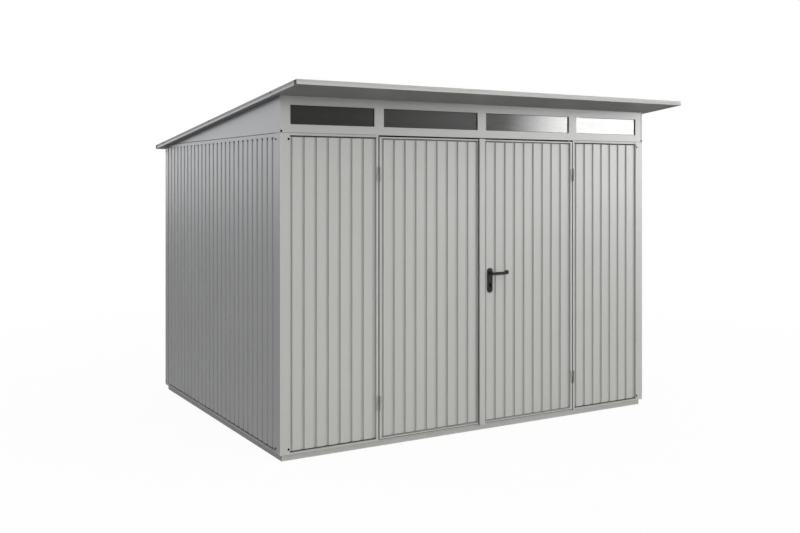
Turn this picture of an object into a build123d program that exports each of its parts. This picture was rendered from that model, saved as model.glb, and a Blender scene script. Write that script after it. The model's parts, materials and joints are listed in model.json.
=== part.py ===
from build123d import *

import math
import os

# Metal storage shed, millimetres. +X to the right along the front, +Y to the back, +Z up.
# Walls are laid out from the outer corner of the front left post, and all pieces are
# shifted at the end so that the origin lies on the ground under the middle of the roof.

# Footprint and heights
wall_width = 3060.0
wall_depth = 2425.0
sill_inset = 19.0
sill_height = 41.0
sill_depth = 60.0
seam_height = 2050.0
header_height = 233.0
seam_bend = 3.0

# Sheet thicknesses
frame_sheet = 2.0
skin_sheet = 1.2

# Corner posts, rails and the recess that takes the ribbed sheets
post_face = 67.0
post_side = 75.0
rail_bottom_face = 10.5
rail_top_face = 14.5
side_rail_top_face = 20.0
rail_depth = 42.0
rail_lip = 15.0
panel_recess = 3.0
flange_reach = 25.0
panel_end_gap = 10.5
pocket_depth = 11.0
pocket_lap = 1.0
panel_side_fit = 1.0

# Ribbed sheet: wide flats with narrow grooves between them
rib_flat = 57.5
rib_pitch = 84.5
rib_slope = 5.5
rib_depth = 9.0
side_rib_pitch = 85.5
front_panel_margin = 19.0
side_panel_margin = -18.5
back_panel_margin = 40.0

# Doorway and leaves
jamb_face = 16.0
jamb_depth = 42.0
stop_lip = 14.0
door_left = 699.0
door_right = 2358.0
door_head_lift = 0.5
door_head_face = 14.0
leaf_side_gap = 8.0
leaf_top_gap = 11.0
leaf_bottom_gap = 8.0
leaf_depth = 30.0
leaf_meet_gap = 7.0
leaf_meet_line = 1500.5
leaf_step = 5.0
leaf_step_depth = 10.0
leaf_hinge_stile = 16.0
leaf_top_rail = 9.0
leaf_bottom_rail = 8.0
leaf_flange = 18.0
left_leaf_margin = 18.0
right_leaf_margin = 13.0
strip_width = 47.0
strip_sheet = 3.0
strip_drop = 10.5
strip_rise = 5.0
brace_height = 40.0
brace_count = 2

# Hinges
hinge_height = 92.0
hinge_up = 241.0
hinge_down = 247.5
hinge_proud = 8.0
knuckle_radius = 6.0
pin_radius = 3.0
pin_clearance = 0.3
hinge_wing = 14.0
hinge_plate = 2.5

# Lever handle and lock
handle_x = 1598.0
handle_plate_width = 44.0
handle_plate_height = 174.0
handle_plate_drop = 50.0
handle_plate_sheet = 9.0
handle_plate_edge = 2.5
spindle_height = 1098.0
spindle_radius = 4.0
neck_radius = 8.0
neck_clearance = 1.0
lever_reach = 50.0
lever_length = 116.0
lever_thick = 12.0
lever_root = 10.0
lever_tip = 15.5
lever_tip_lift = 5.5
lock_case_width = 52.0
key_spacing = 76.0
key_radius = 8.5
key_slot = 10.0
key_drop = 24.0
key_clearance = 0.3
key_proud = 2.0

# Window strip
window_sill = 54.0
window_height = 122.0
window_bar = 70.0
window_outer = 600.0
window_lip = 7.0
glass_sheet = 4.0
glass_cover = 8.0
header_flange = 42.0

# Roof
roof_side = 48.0
roof_front = 359.0
roof_back = 123.0
roof_slope = 5.873
roof_thick = 31.0
trim_flange = 40.0
trim_kick = 2.5
trim_kick_height = 15.0
trim_fit = 0.2
deck_rib_pitch = 190.0
deck_rib_flat = 24.0
deck_rib_slope = 10.0
deck_rib_depth = 14.0
beam_first = 560.0
beam_pitch = 600.0
beam_count = 3
beam_width = 40.0
beam_depth = 40.0

# Values worked out from the sizes above
rebate = panel_recess + rib_depth + skin_sheet
pocket = rebate + pocket_depth
pocket_height = panel_end_gap - pocket_lap
front_wall_top = seam_height + header_height
slope_rise = math.tan(math.radians(roof_slope))
roof_lean = roof_thick * math.sin(math.radians(roof_slope))
roof_plan = roof_front + wall_depth + roof_back
roof_length = (roof_plan - roof_lean) / math.cos(math.radians(roof_slope))
roof_width = wall_width + 2 * roof_side
middle_x = wall_width / 2
middle_y = (wall_depth + roof_back - roof_front) / 2
opening_left = door_left - jamb_face
opening_right = door_right + jamb_face
door_top = seam_height + door_head_lift
head_top = door_top + door_head_face
leaf_bottom = sill_height + leaf_bottom_gap
leaf_top = door_top - leaf_top_gap
left_leaf_low = door_left + leaf_side_gap
left_leaf_high = leaf_meet_line - leaf_meet_gap / 2
right_leaf_low = leaf_meet_line + leaf_meet_gap / 2
right_leaf_high = door_right - leaf_side_gap
hinge_levels = (leaf_bottom + hinge_up, leaf_top - hinge_down)
brace_step = (leaf_top - leaf_bottom) / (brace_count + 1)
handle_plate_middle = spindle_height - handle_plate_drop
key_height = spindle_height - key_spacing
window_bottom = seam_height + window_sill
window_top = window_bottom + window_height
beam_places = [beam_first + beam_pitch * number for number in range(beam_count)]
hinge_left_x = door_left + leaf_side_gap / 2
hinge_right_x = door_right - leaf_side_gap / 2


def block(x0, x1, y0, y1, z0, z1):
    """A box between two corners."""
    return Pos(x0, y0, z0) * Box(x1 - x0, y1 - y0, z1 - z0, align=Align.MIN)


def folded(path, sheet):
    """Closed outline of a sheet bent along a path, its thickness on the right of the path."""
    steps = []
    for (a0, b0), (a1, b1) in zip(path, path[1:]):
        run = math.hypot(a1 - a0, b1 - b0)
        steps.append(((b1 - b0) / run, -(a1 - a0) / run))
    far = []
    for index, (a, b) in enumerate(path):
        before = steps[max(index - 1, 0)]
        after = steps[min(index, len(steps) - 1)]
        spread = 1 + before[0] * after[0] + before[1] * after[1]
        far.append((a + sheet * (before[0] + after[0]) / spread,
                    b + sheet * (before[1] + after[1]) / spread))
    return path + far[::-1]


def upright(outline, z0, z1):
    """An outline in plan, drawn up from z0 to z1."""
    face = make_face(Polyline(*outline, close=True))
    return Pos(0, 0, z0) * extrude(face, amount=z1 - z0, dir=(0, 0, 1))


def along_x(outline, x0, x1):
    """An outline in (y, z), drawn from x0 to x1."""
    face = make_face(Plane.YZ * Polyline(*outline, close=True))
    return Pos(x0, 0, 0) * extrude(face, amount=x1 - x0, dir=(1, 0, 0))


def along_y(outline, y0, y1):
    """An outline in (x, z), drawn from y0 to y1."""
    face = make_face(Plane.XZ * Polyline(*outline, close=True))
    return Pos(0, y0, 0) * extrude(face, amount=y1 - y0, dir=(0, 1, 0))


def to_right(solid):
    """The same piece mirrored to the right side of the building."""
    return Pos(wall_width, 0, 0) * mirror(solid, about=Plane.YZ)


def to_back(solid):
    """The same piece mirrored to the back of the building."""
    return Pos(0, wall_depth, 0) * mirror(solid, about=Plane.XZ)


def ribbed_path(start, end, first_flat, pitch):
    """Path of a ribbed sheet as (along, depth) points, with its flats at depth 0."""
    path = [(start, rib_depth)]
    flat = first_flat
    if flat < start:
        path = [(start, 0.0), (flat + rib_flat, 0.0), (flat + rib_flat + rib_slope, rib_depth)]
        flat += pitch
    while flat + rib_flat + rib_slope < end:
        path += [(flat - rib_slope, rib_depth), (flat, 0.0), (flat + rib_flat, 0.0),
                 (flat + rib_flat + rib_slope, rib_depth)]
        flat += pitch
    return path + [(end, rib_depth)]


def ribbed_sheet(start, end, first_flat, pitch, z0, z1):
    """A ribbed sheet facing the front, its flats set back by the panel recess."""
    path = [(a, panel_recess + d) for a, d in ribbed_path(start, end, first_flat, pitch)]
    return upright(folded(path, -skin_sheet), z0, z1)


def under_roof():
    """The space below the roof's underside."""
    front = -roof_front
    back = wall_depth + roof_back
    outline = [(front, -1.0), (back, -1.0), (back, front_wall_top - back * slope_rise),
               (front, front_wall_top - front * slope_rise)]
    return along_x(outline, -roof_side, wall_width + roof_side)


pieces = {}
roof_space = under_roof()

# Base: four channels, open to the inside, set in from the posts
base_path = [(sill_inset + sill_depth, 0.0), (sill_inset, 0.0), (sill_inset, sill_height),
             (sill_inset + sill_depth, sill_height)]
base_section = folded(base_path, frame_sheet)
base_corner = sill_inset + sill_depth
base_front = along_x(base_section, sill_inset, wall_width - sill_inset)
for end in (sill_inset, wall_width - sill_inset - frame_sheet):
    base_front = base_front + block(end, end + frame_sheet, sill_inset, base_corner, 0, sill_height)
pieces["base_front"] = base_front
pieces["base_back"] = to_back(pieces["base_front"])
pieces["base_left"] = along_y(base_section, base_corner, wall_depth - base_corner)
pieces["base_right"] = to_right(pieces["base_left"])

# Corner posts: folded sheet with a recess on both sides for the ribbed sheets
post_path = [(post_face + flange_reach, rebate), (post_face, rebate), (post_face, 0.0),
             (0.0, 0.0), (0.0, post_side), (rebate, post_side),
             (rebate, post_side + flange_reach)]
front_post = upright(folded(post_path, frame_sheet), sill_height, seam_height)
back_post = to_back(front_post) & roof_space
pieces["post_front_left"] = front_post
pieces["post_front_right"] = to_right(front_post)
pieces["post_back_left"] = back_post
pieces["post_back_right"] = to_right(back_post)

# Rails under and over the ribbed sheets, notched round the flanges of the posts. A pocket
# runs behind the gap at each end of a sheet.
bottom_face_top = sill_height + rail_bottom_face
bottom_path = [(rail_depth, sill_height + rail_lip), (rail_depth, sill_height),
               (0.0, sill_height), (0.0, bottom_face_top), (pocket, bottom_face_top),
               (pocket, bottom_face_top + pocket_height),
               (rebate, bottom_face_top + pocket_height),
               (rebate, bottom_face_top + flange_reach)]


def top_path(face, seam):
    """Path of a top rail whose face hangs down from the seam, its upper edge bent."""
    low = seam - face
    return [(rebate, low - flange_reach), (rebate, low - pocket_height),
            (pocket, low - pocket_height), (pocket, low), (0.0, low), (0.0, seam - seam_bend),
            (seam_bend, seam), (rail_depth, seam), (rail_depth, seam - rail_lip)]


bottom_section = folded(bottom_path, frame_sheet)
top_section = folded(top_path(rail_top_face, seam_height), frame_sheet)
side_top_section = folded(top_path(side_rail_top_face, seam_height), frame_sheet)


def front_rail(section, start, end):
    """A rail between two uprights whose flanges stand behind its ends."""
    nose = along_x(section, start, end) & block(start, end, 0, rebate, 0, seam_height)
    return along_x(section, start + flange_reach, end - flange_reach) + nose


def side_rail(section):
    """A rail between the front and the back post."""
    end = wall_depth - post_side
    nose = along_y(section, post_side, end) & block(0, rebate, post_side, end, 0, seam_height)
    return along_y(section, post_side + flange_reach, end - flange_reach) + nose


wall_end = wall_width - post_face
left_span = (post_face, opening_left)
right_span = (opening_right, wall_end)
pieces["rail_bottom_front"] = [front_rail(bottom_section, *s) for s in (left_span, right_span)]
pieces["rail_bottom_back"] = to_back(front_rail(bottom_section, post_face, wall_end))
pieces["rail_bottom_left"] = side_rail(bottom_section)
pieces["rail_bottom_right"] = to_right(pieces["rail_bottom_left"])
pieces["rail_top_front"] = [front_rail(top_section, *s) for s in (left_span, right_span)]
pieces["rail_top_left"] = side_rail(side_top_section) & roof_space
pieces["rail_top_right"] = to_right(pieces["rail_top_left"])

# The back wall is lower: its top rail follows the underside of the roof
back_seam = front_wall_top - wall_depth * slope_rise
back_rail = front_rail(folded(top_path(rail_top_face, back_seam), frame_sheet),
                       post_face, wall_end)
pieces["rail_top_back"] = to_back(back_rail)

# Ribbed wall sheets
sheet_low = bottom_face_top + panel_end_gap
sheet_high = seam_height - rail_top_face - panel_end_gap
side_high = seam_height - side_rail_top_face - panel_end_gap
back_high = back_seam - rail_top_face - panel_end_gap
for name, (start, end) in (("panel_front_left", left_span), ("panel_front_right", right_span)):
    pieces[name] = ribbed_sheet(start + panel_side_fit, end - panel_side_fit,
                                start + front_panel_margin, rib_pitch, sheet_low, sheet_high)
pieces["panel_back"] = to_back(ribbed_sheet(post_face + panel_side_fit,
                                            wall_end - panel_side_fit,
                                            post_face + back_panel_margin, rib_pitch,
                                            sheet_low, back_high))
side_end = wall_depth - post_side
side_sheet = ribbed_sheet(post_side + panel_side_fit, side_end - panel_side_fit,
                          post_side + side_panel_margin, side_rib_pitch, sheet_low, side_high)
side_sheet = mirror(Rot(0, 0, 90) * side_sheet, about=Plane.YZ)
pieces["panel_left"] = side_sheet & roof_space
pieces["panel_right"] = to_right(pieces["panel_left"])

# Door jambs and head, each with a stop behind the leaves
jamb_path = [(opening_left - flange_reach, rebate), (opening_left, rebate),
             (opening_left, 0.0), (door_left, 0.0), (door_left, jamb_depth),
             (door_left + stop_lip, jamb_depth)]
jamb = upright(folded(jamb_path, -frame_sheet), sill_height, seam_height)
jamb_cap = block(opening_left, door_left, 0, frame_sheet, seam_height, head_top)
left_jamb = jamb + jamb_cap
pieces["door_jamb_left"] = left_jamb
shift = door_right + door_left
pieces["door_jamb_right"] = Pos(shift, 0, 0) * mirror(left_jamb, about=Plane.YZ)
head_path = [(jamb_depth, door_top - stop_lip), (jamb_depth, door_top), (0.0, door_top),
             (0.0, head_top), (rail_depth, head_top)]
head = along_x(folded(head_path, frame_sheet), door_left, door_right)
stop_back = jamb_depth + frame_sheet
for x0, x1 in ((door_left, door_left + stop_lip), (door_right - stop_lip, door_right)):
    head = head - block(x0, x1, jamb_depth, stop_back, door_top - stop_lip, seam_height)
pieces["door_head"] = head


def leaf_frame(low, high, stile_low, stile_high):
    """Pan shaped frame of a door leaf with a recess for its ribbed sheet and its braces."""
    sheet = frame_sheet
    outer = block(low, high, 0, leaf_depth, leaf_bottom, leaf_top)
    hollow = block(low + sheet, high - sheet, sheet, leaf_depth,
                   leaf_bottom + sheet, leaf_top - sheet)
    x0 = low + stile_low
    x1 = high - stile_high
    z0 = leaf_bottom + leaf_bottom_rail
    z1 = leaf_top - leaf_top_rail
    frame = outer - hollow
    frame = frame + block(x0 - sheet, x1 + sheet, 0, rebate + sheet, z0 - sheet, z1 + sheet)
    for end0, end1 in ((z0, z0 + pocket_height), (z1 - pocket_height, z1)):
        frame = frame + block(x0 - sheet, x1 + sheet, sheet, pocket + sheet,
                              end0 - sheet, end1 + sheet)
        frame = frame - block(x0, x1, 0, pocket, end0, end1)
    frame = frame - block(x0, x1, 0, rebate, z0, z1)
    frame = frame - block(x0 + leaf_flange, x1 - leaf_flange, 0, leaf_depth,
                          z0 + leaf_flange, z1 - leaf_flange)
    for number in range(brace_count):
        middle = leaf_bottom + brace_step * (number + 1)
        low_edge = middle - brace_height / 2
        high_edge = middle + brace_height / 2
        brace = [(leaf_depth, low_edge), (rebate + sheet, low_edge),
                 (rebate + sheet, high_edge), (leaf_depth, high_edge)]
        frame = frame + along_x(folded(brace, sheet), low + sheet, high - sheet)
    return frame, (x0, x1, z0, z1)


left_frame, left_open = leaf_frame(left_leaf_low, left_leaf_high, leaf_hinge_stile, frame_sheet)
strip_low = right_leaf_low + leaf_step
right_frame, right_open = leaf_frame(right_leaf_low, right_leaf_high, leaf_step + strip_width,
                                     leaf_hinge_stile)
step_wall = strip_low + frame_sheet
step_back = leaf_step_depth + frame_sheet
right_frame = right_frame + block(right_leaf_low, step_wall, 0, step_back, leaf_bottom, leaf_top)
right_frame = right_frame - block(right_leaf_low, strip_low, 0, leaf_step_depth,
                                  leaf_bottom, leaf_top)


def leaf_skin(opening, first_flat):
    """The ribbed sheet in a leaf's frame."""
    x0, x1, z0, z1 = opening
    return ribbed_sheet(x0 + panel_side_fit, x1 - panel_side_fit, first_flat, rib_pitch,
                        z0 + panel_end_gap, z1 - panel_end_gap)


left_skin = leaf_skin(left_open, left_open[0] + left_leaf_margin)
right_skin = leaf_skin(right_open, right_open[0] + right_leaf_margin)

# Meeting strip on the right leaf
strip = block(strip_low, strip_low + strip_width, -strip_sheet, 0,
              leaf_bottom - strip_drop, leaf_top + strip_rise)

# Lift-off hinges: knuckle and pin on the frame, knuckle with a bore on the leaf
half = hinge_height / 2


def frame_hinge(x, side, level):
    """Lower knuckle, its pin and its wing on the jamb; side is -1 for the left jamb."""
    low = level - half
    knuckle = Pos(x, -hinge_proud, low) * Cylinder(knuckle_radius, half, align=(
        Align.CENTER, Align.CENTER, Align.MIN))
    pin = Pos(x, -hinge_proud, low) * Cylinder(pin_radius, hinge_height - 4 * pin_clearance,
                                               align=(Align.CENTER, Align.CENTER, Align.MIN))
    edge = x + side * (leaf_side_gap / 2 + hinge_wing)
    wing = block(min(x, edge), max(x, edge), -hinge_plate, 0, low, level)
    return knuckle + pin + wing


def leaf_hinge(x, side, level):
    """Upper knuckle and its wing on the leaf; side is +1 for the left leaf."""
    low = level + pin_clearance
    knuckle = Pos(x, -hinge_proud, low) * Cylinder(knuckle_radius, half - pin_clearance, align=(
        Align.CENTER, Align.CENTER, Align.MIN))
    edge = x + side * (leaf_side_gap / 2 + hinge_wing)
    wing = block(min(x, edge), max(x, edge), -hinge_plate, 0, low, level + half)
    bore = Pos(x, -hinge_proud, low) * Cylinder(pin_radius + pin_clearance, hinge_height)
    return (knuckle + wing) - bore


pieces["frame_hinges"] = [frame_hinge(x, side, level) for level in hinge_levels
                          for x, side in ((hinge_left_x, -1), (hinge_right_x, 1))]
pieces["left_leaf_hinges"] = [leaf_hinge(hinge_left_x, 1, level) for level in hinge_levels]
pieces["right_leaf_hinges"] = [leaf_hinge(hinge_right_x, -1, level) for level in hinge_levels]


# Lock and lever handle on the right leaf
def across(x, z, radius, y0, y1):
    """A round bar through the leaf from y0 to y1."""
    return Pos(x, y0, z) * Rot(-90, 0, 0) * Cylinder(radius, y1 - y0, align=(
        Align.CENTER, Align.CENTER, Align.MIN))


def key_profile(grow, y0, y1):
    """The lock cylinder's outline, larger by grow."""
    core = across(handle_x, key_height, key_radius + grow, y0, y1)
    slot = block(handle_x - key_slot / 2 - grow, handle_x + key_slot / 2 + grow, y0, y1,
                 key_height - key_drop - grow, key_height)
    return core + slot


def handle_plate(y0, y1):
    """A plate with round ends and openings for the lever and the lock cylinder."""
    middle = Pos(handle_x, y1, handle_plate_middle) * Rot(90, 0, 0)
    outline = SlotOverall(handle_plate_height, handle_plate_width, rotation=90)
    plate = extrude(outline, amount=y1 - y0)
    faces = plate.faces().sort_by(Axis.Z)
    if y0 < 0:
        plate = middle * chamfer(faces[-1].edges(), handle_plate_edge)
    else:
        plate = middle * chamfer(faces[0].edges(), handle_plate_edge)
    plate = plate - across(handle_x, spindle_height, neck_radius + neck_clearance, y0, y1)
    return plate - key_profile(key_clearance, y0, y1)


def lever(y_root, y_grip):
    """Neck and grip of a lever that points to the right; the grip starts at y_grip."""
    out = 1 if y_grip > y_root else -1
    y_end = y_grip + out * lever_thick
    neck = across(handle_x, spindle_height, neck_radius, min(y_root, y_grip),
                  max(y_root, y_grip))
    low, high = sorted((y_grip, y_end))
    tip = handle_x + lever_length
    root = across(handle_x, spindle_height, lever_root, low, high)
    end = across(tip, spindle_height + lever_tip_lift, lever_tip, low, high)
    grip = [(handle_x, spindle_height - lever_root), (tip, spindle_height - lever_root),
            (tip, spindle_height + lever_root), (handle_x, spindle_height + lever_root)]
    return neck + root + end + along_y(grip, low, high)


plate_front = panel_recess - handle_plate_sheet
case_front = panel_recess + skin_sheet
case_x = (handle_x - lock_case_width / 2, handle_x + lock_case_width / 2)
case_z = (handle_plate_middle - handle_plate_height / 2,
          handle_plate_middle + handle_plate_height / 2)
inner_plate_back = leaf_depth + handle_plate_sheet
case = block(*case_x, case_front, leaf_depth, *case_z)
case = case - across(handle_x, spindle_height, neck_radius + neck_clearance, 0, leaf_depth)
case = case - key_profile(key_clearance, 0, leaf_depth)
pieces["lock_case"] = case
pieces["handle_plate_outer"] = handle_plate(plate_front, panel_recess)
pieces["handle_plate_inner"] = handle_plate(leaf_depth, inner_plate_back)
pieces["lock_cylinder"] = key_profile(0, plate_front - key_proud, inner_plate_back + key_proud)
grip_outer = panel_recess - lever_reach + lever_thick
grip_inner = leaf_depth + lever_reach - lever_thick
spindle = across(handle_x, spindle_height, spindle_radius, 0, leaf_depth)
pieces["lever_outer"] = lever(panel_recess, grip_outer) + spindle
pieces["lever_inner"] = lever(leaf_depth, grip_inner)
cut_out = across(handle_x, spindle_height, neck_radius + neck_clearance, 0, leaf_depth)
cut_out = cut_out + key_profile(key_clearance, 0, leaf_depth)
case_room = block(*case_x, case_front, leaf_depth, *case_z)
pieces["left_leaf_frame"] = left_frame
pieces["left_leaf_skin"] = left_skin
pieces["right_leaf_frame"] = right_frame - case_room
pieces["right_leaf_skin"] = (right_skin - case_room) - cut_out
pieces["meeting_strip"] = strip

# Window strip over the front wall
bend_reach = seam_bend + frame_sheet
header_path = [(header_flange, seam_height), (seam_bend, seam_height),
               (0.0, seam_height + seam_bend), (0.0, front_wall_top)]
header = along_x(folded(header_path, frame_sheet), 0, wall_width)
for x0, x1 in ((0, bend_reach), (wall_width - bend_reach, wall_width)):
    header = header - block(x0, x1, frame_sheet, header_flange, seam_height, front_wall_top)
window_inner = (wall_width - 5 * window_bar - 2 * window_outer) / 2
windows = []
window_x = window_bar
for wide in (window_outer, window_inner, window_inner, window_outer):
    windows.append((window_x, window_x + wide))
    window_x += wide + window_bar
glass = []
glass_front = frame_sheet + window_lip
for x0, x1 in windows:
    rim = block(x0 - frame_sheet, x1 + frame_sheet, 0, glass_front,
                window_bottom - frame_sheet, window_top + frame_sheet)
    header = header + rim
for x0, x1 in windows:
    header = header - block(x0, x1, 0, glass_front, window_bottom, window_top)
    glass.append(block(x0 - glass_cover, x1 + glass_cover, glass_front,
                       glass_front + glass_sheet, window_bottom - glass_cover,
                       window_top + glass_cover))
notch = block(opening_left, opening_right, 0, header_flange, seam_height, head_top)
pieces["window_frame"] = (header - notch) & roof_space
pieces["window_glass"] = glass

# Gable sheets between the window strip and the low end of the roof
gable_end = (header_height - seam_bend) / slope_rise
gable_section = folded(header_path, frame_sheet)
gable = along_y(gable_section, frame_sheet, gable_end)
gable = gable - block(bend_reach, header_flange, frame_sheet, header_flange,
                      seam_height, front_wall_top)
gable = gable & roof_space
pieces["gable_left"] = gable
pieces["gable_right"] = to_right(gable)


# Roof: edge trims, deck and soffit, drawn level and then tilted
def tilt(solid):
    """Move a level roof piece to its place on the slope."""
    eave = front_wall_top + roof_front * slope_rise
    eave = eave - frame_sheet / math.cos(math.radians(roof_slope))
    return Pos(-roof_side, -roof_front, eave) * Rot(-roof_slope, 0, 0) * solid


trim_path = [(trim_flange, 0.0), (0.0, 0.0), (trim_kick, trim_kick_height), (0.0, roof_thick),
             (trim_flange, roof_thick)]
trim_section = folded(trim_path, frame_sheet)
front_trim = along_x(trim_section, 0, roof_width)
back_trim = Pos(0, roof_length, 0) * mirror(front_trim, about=Plane.XZ)
side_trim = along_y(trim_section, trim_flange, roof_length - trim_flange)
pieces["roof_trim_front"] = tilt(front_trim)
pieces["roof_trim_back"] = tilt(back_trim)
pieces["roof_trim_left"] = tilt(side_trim)
pieces["roof_trim_right"] = tilt(Pos(roof_width, 0, 0) * mirror(side_trim, about=Plane.YZ))
deck_low = roof_thick - frame_sheet - deck_rib_depth
trim_room = trim_kick + frame_sheet + trim_fit
deck_path = [(trim_room, deck_low)]
deck_x = deck_rib_pitch / 2
while deck_x < roof_width - deck_rib_pitch / 4:
    half_top = deck_rib_flat / 2
    deck_path += [(deck_x - half_top - deck_rib_slope, deck_low),
                  (deck_x - half_top, deck_low + deck_rib_depth),
                  (deck_x + half_top, deck_low + deck_rib_depth),
                  (deck_x + half_top + deck_rib_slope, deck_low)]
    deck_x += deck_rib_pitch
deck_path += [(roof_width - trim_room, deck_low)]
deck = along_y(folded(deck_path, skin_sheet), trim_room, roof_length - trim_room)
pieces["roof_deck"] = tilt(deck)
soffit = block(trim_room, roof_width - trim_room, trim_room, roof_length - trim_room,
               frame_sheet, frame_sheet + skin_sheet)
pieces["roof_soffit"] = tilt(soffit)

# Roof beams between the gables
beams = []
for place in beam_places:
    top = front_wall_top - place * slope_rise
    channel = [(place, top), (place, top - beam_depth), (place + beam_width, top - beam_depth),
               (place + beam_width, top)]
    beam = along_x(folded(channel, -frame_sheet), frame_sheet, wall_width - frame_sheet)
    beams.append(beam & roof_space)
pieces["roof_beams"] = beams

os.makedirs("parts", exist_ok=True)
to_origin = Pos(-middle_x, -middle_y, 0)
for name, piece in pieces.items():
    solids = piece if isinstance(piece, list) else [piece]
    moved = [to_origin * solid for solid in solids]
    shape = moved[0] if len(moved) == 1 else Compound(children=moved)
    export_step(shape, f"parts/{name}.step")
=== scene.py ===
"""Finishes, fixings and studio for a metal storage shed with double doors and a pent roof."""

import json
import logging
import math
from dataclasses import dataclass, field
from enum import Enum

import bmesh
import bpy
from mathutils import Matrix, Vector


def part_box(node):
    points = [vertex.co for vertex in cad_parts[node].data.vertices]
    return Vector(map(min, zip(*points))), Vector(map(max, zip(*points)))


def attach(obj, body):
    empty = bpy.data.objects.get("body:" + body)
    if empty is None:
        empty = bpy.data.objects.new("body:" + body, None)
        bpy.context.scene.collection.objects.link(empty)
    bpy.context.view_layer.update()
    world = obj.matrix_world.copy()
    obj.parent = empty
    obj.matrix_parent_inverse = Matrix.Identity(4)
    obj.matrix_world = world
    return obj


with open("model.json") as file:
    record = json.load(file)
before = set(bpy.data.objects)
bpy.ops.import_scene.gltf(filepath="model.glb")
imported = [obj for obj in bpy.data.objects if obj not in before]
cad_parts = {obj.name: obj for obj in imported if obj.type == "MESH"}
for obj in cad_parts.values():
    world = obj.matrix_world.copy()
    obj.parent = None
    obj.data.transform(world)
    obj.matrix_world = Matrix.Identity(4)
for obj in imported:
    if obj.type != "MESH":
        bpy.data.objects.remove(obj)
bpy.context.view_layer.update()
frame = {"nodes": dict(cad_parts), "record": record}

LOG = logging.getLogger("shed")
Colour = tuple[float, float, float]
Point = tuple[float, float, float]
Span = tuple[float, float]
Socket = bpy.types.NodeSocket


def opaque(red: float, green: float, blue: float) -> tuple[float, float, float, float]:
    """Give a colour its full alpha."""
    return (red, green, blue, 1.0)


def around(middle: float, half: float) -> Span:
    """Give the span that reaches as far to both sides of a middle."""
    return (middle - half, middle + half)


def inset(span: Span, gap: float) -> Span:
    """Give a span that starts and ends a gap further in."""
    return (span[0] + gap, span[1] - gap)


class Graph:
    """A writer for one node tree."""

    def __init__(self, tree: bpy.types.NodeTree) -> None:
        """Keep the tree that is written to."""
        self.tree = tree

    def add(self, kind: str, inputs: dict | None = None, **settings: object) -> bpy.types.Node:
        """Add a node with its settings and inputs.

        Args:
            kind: The node's type, such as ShaderNodeMix.
            inputs: Values or output sockets by the input's name or number.
            settings: Properties of the node itself.

        Returns:
            The new node.
        """
        node = self.tree.nodes.new(kind)
        for name, value in settings.items():
            setattr(node, name, value)
        for key, value in (inputs or {}).items():
            if isinstance(value, Socket):
                self.tree.links.new(value, node.inputs[key])
            else:
                node.inputs[key].default_value = value
        return node

    def feed(self, value: Socket, target: Socket) -> None:
        """Link an output to an input."""
        self.tree.links.new(value, target)

    def math(self, operation: str, first: object, second: object = 0.0,
             clamp: bool = False) -> Socket:
        """Work out one sum on two values or sockets.

        Args:
            operation: The Math node's operation.
            first: The first value or socket.
            second: The second value or socket.
            clamp: Whether the result is held between 0 and 1.

        Returns:
            The result's socket.
        """
        node = self.add("ShaderNodeMath", {0: first, 1: second}, operation=operation,
                        use_clamp=clamp)
        return node.outputs[0]

    def scaled(self, vector: object, factor: object) -> Socket:
        """Multiply a vector or a colour by one number."""
        return self.add("ShaderNodeVectorMath", {0: vector, "Scale": factor},
                        operation="SCALE").outputs[0]

    def dot(self, first: object, second: object) -> Socket:
        """Work out the dot product of two vectors."""
        return self.add("ShaderNodeVectorMath", {0: first, 1: second},
                        operation="DOT_PRODUCT").outputs["Value"]

    def split(self, vector: object) -> bpy.types.bpy_prop_collection:
        """Split a vector into its three parts."""
        return self.add("ShaderNodeSeparateXYZ", {0: vector}).outputs

    def noise(self, vector: object, scale: object, detail: float = 3.0,
              roughness: float = 0.55) -> Socket:
        """Read a noise field.

        Args:
            vector: The coordinates' socket.
            scale: How many lumps there are in a metre.
            detail: How many octaves are added.
            roughness: How strong the finer octaves are.

        Returns:
            The noise value's socket.
        """
        node = self.add("ShaderNodeTexNoise", {"Vector": vector, "Scale": scale,
                                               "Detail": detail, "Roughness": roughness})
        return node.outputs["Fac"]

    def ramp(self, value: object, low: object, high: object, out_low: float = 0.0,
             out_high: float = 1.0) -> Socket:
        """Map a value smoothly from one span to another.

        Args:
            value: The socket to map.
            low: The value that gives out_low.
            high: The value that gives out_high.
            out_low: The result at the low end.
            out_high: The result at the high end.

        Returns:
            The mapped value's socket.
        """
        node = self.add("ShaderNodeMapRange", {"Value": value, "From Min": low, "From Max": high,
                                               "To Min": out_low, "To Max": out_high},
                        interpolation_type="SMOOTHSTEP")
        return node.outputs["Result"]

    def mix(self, factor: object, first: object, second: object) -> Socket:
        """Mix two colours.

        Args:
            factor: The share of the second colour.
            first: The first colour or socket.
            second: The second colour or socket.

        Returns:
            The mixed colour's socket.
        """
        node = self.add("ShaderNodeMix", {"Factor": factor, 6: first, 7: second},
                        data_type="RGBA")
        return node.outputs[2]


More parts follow.
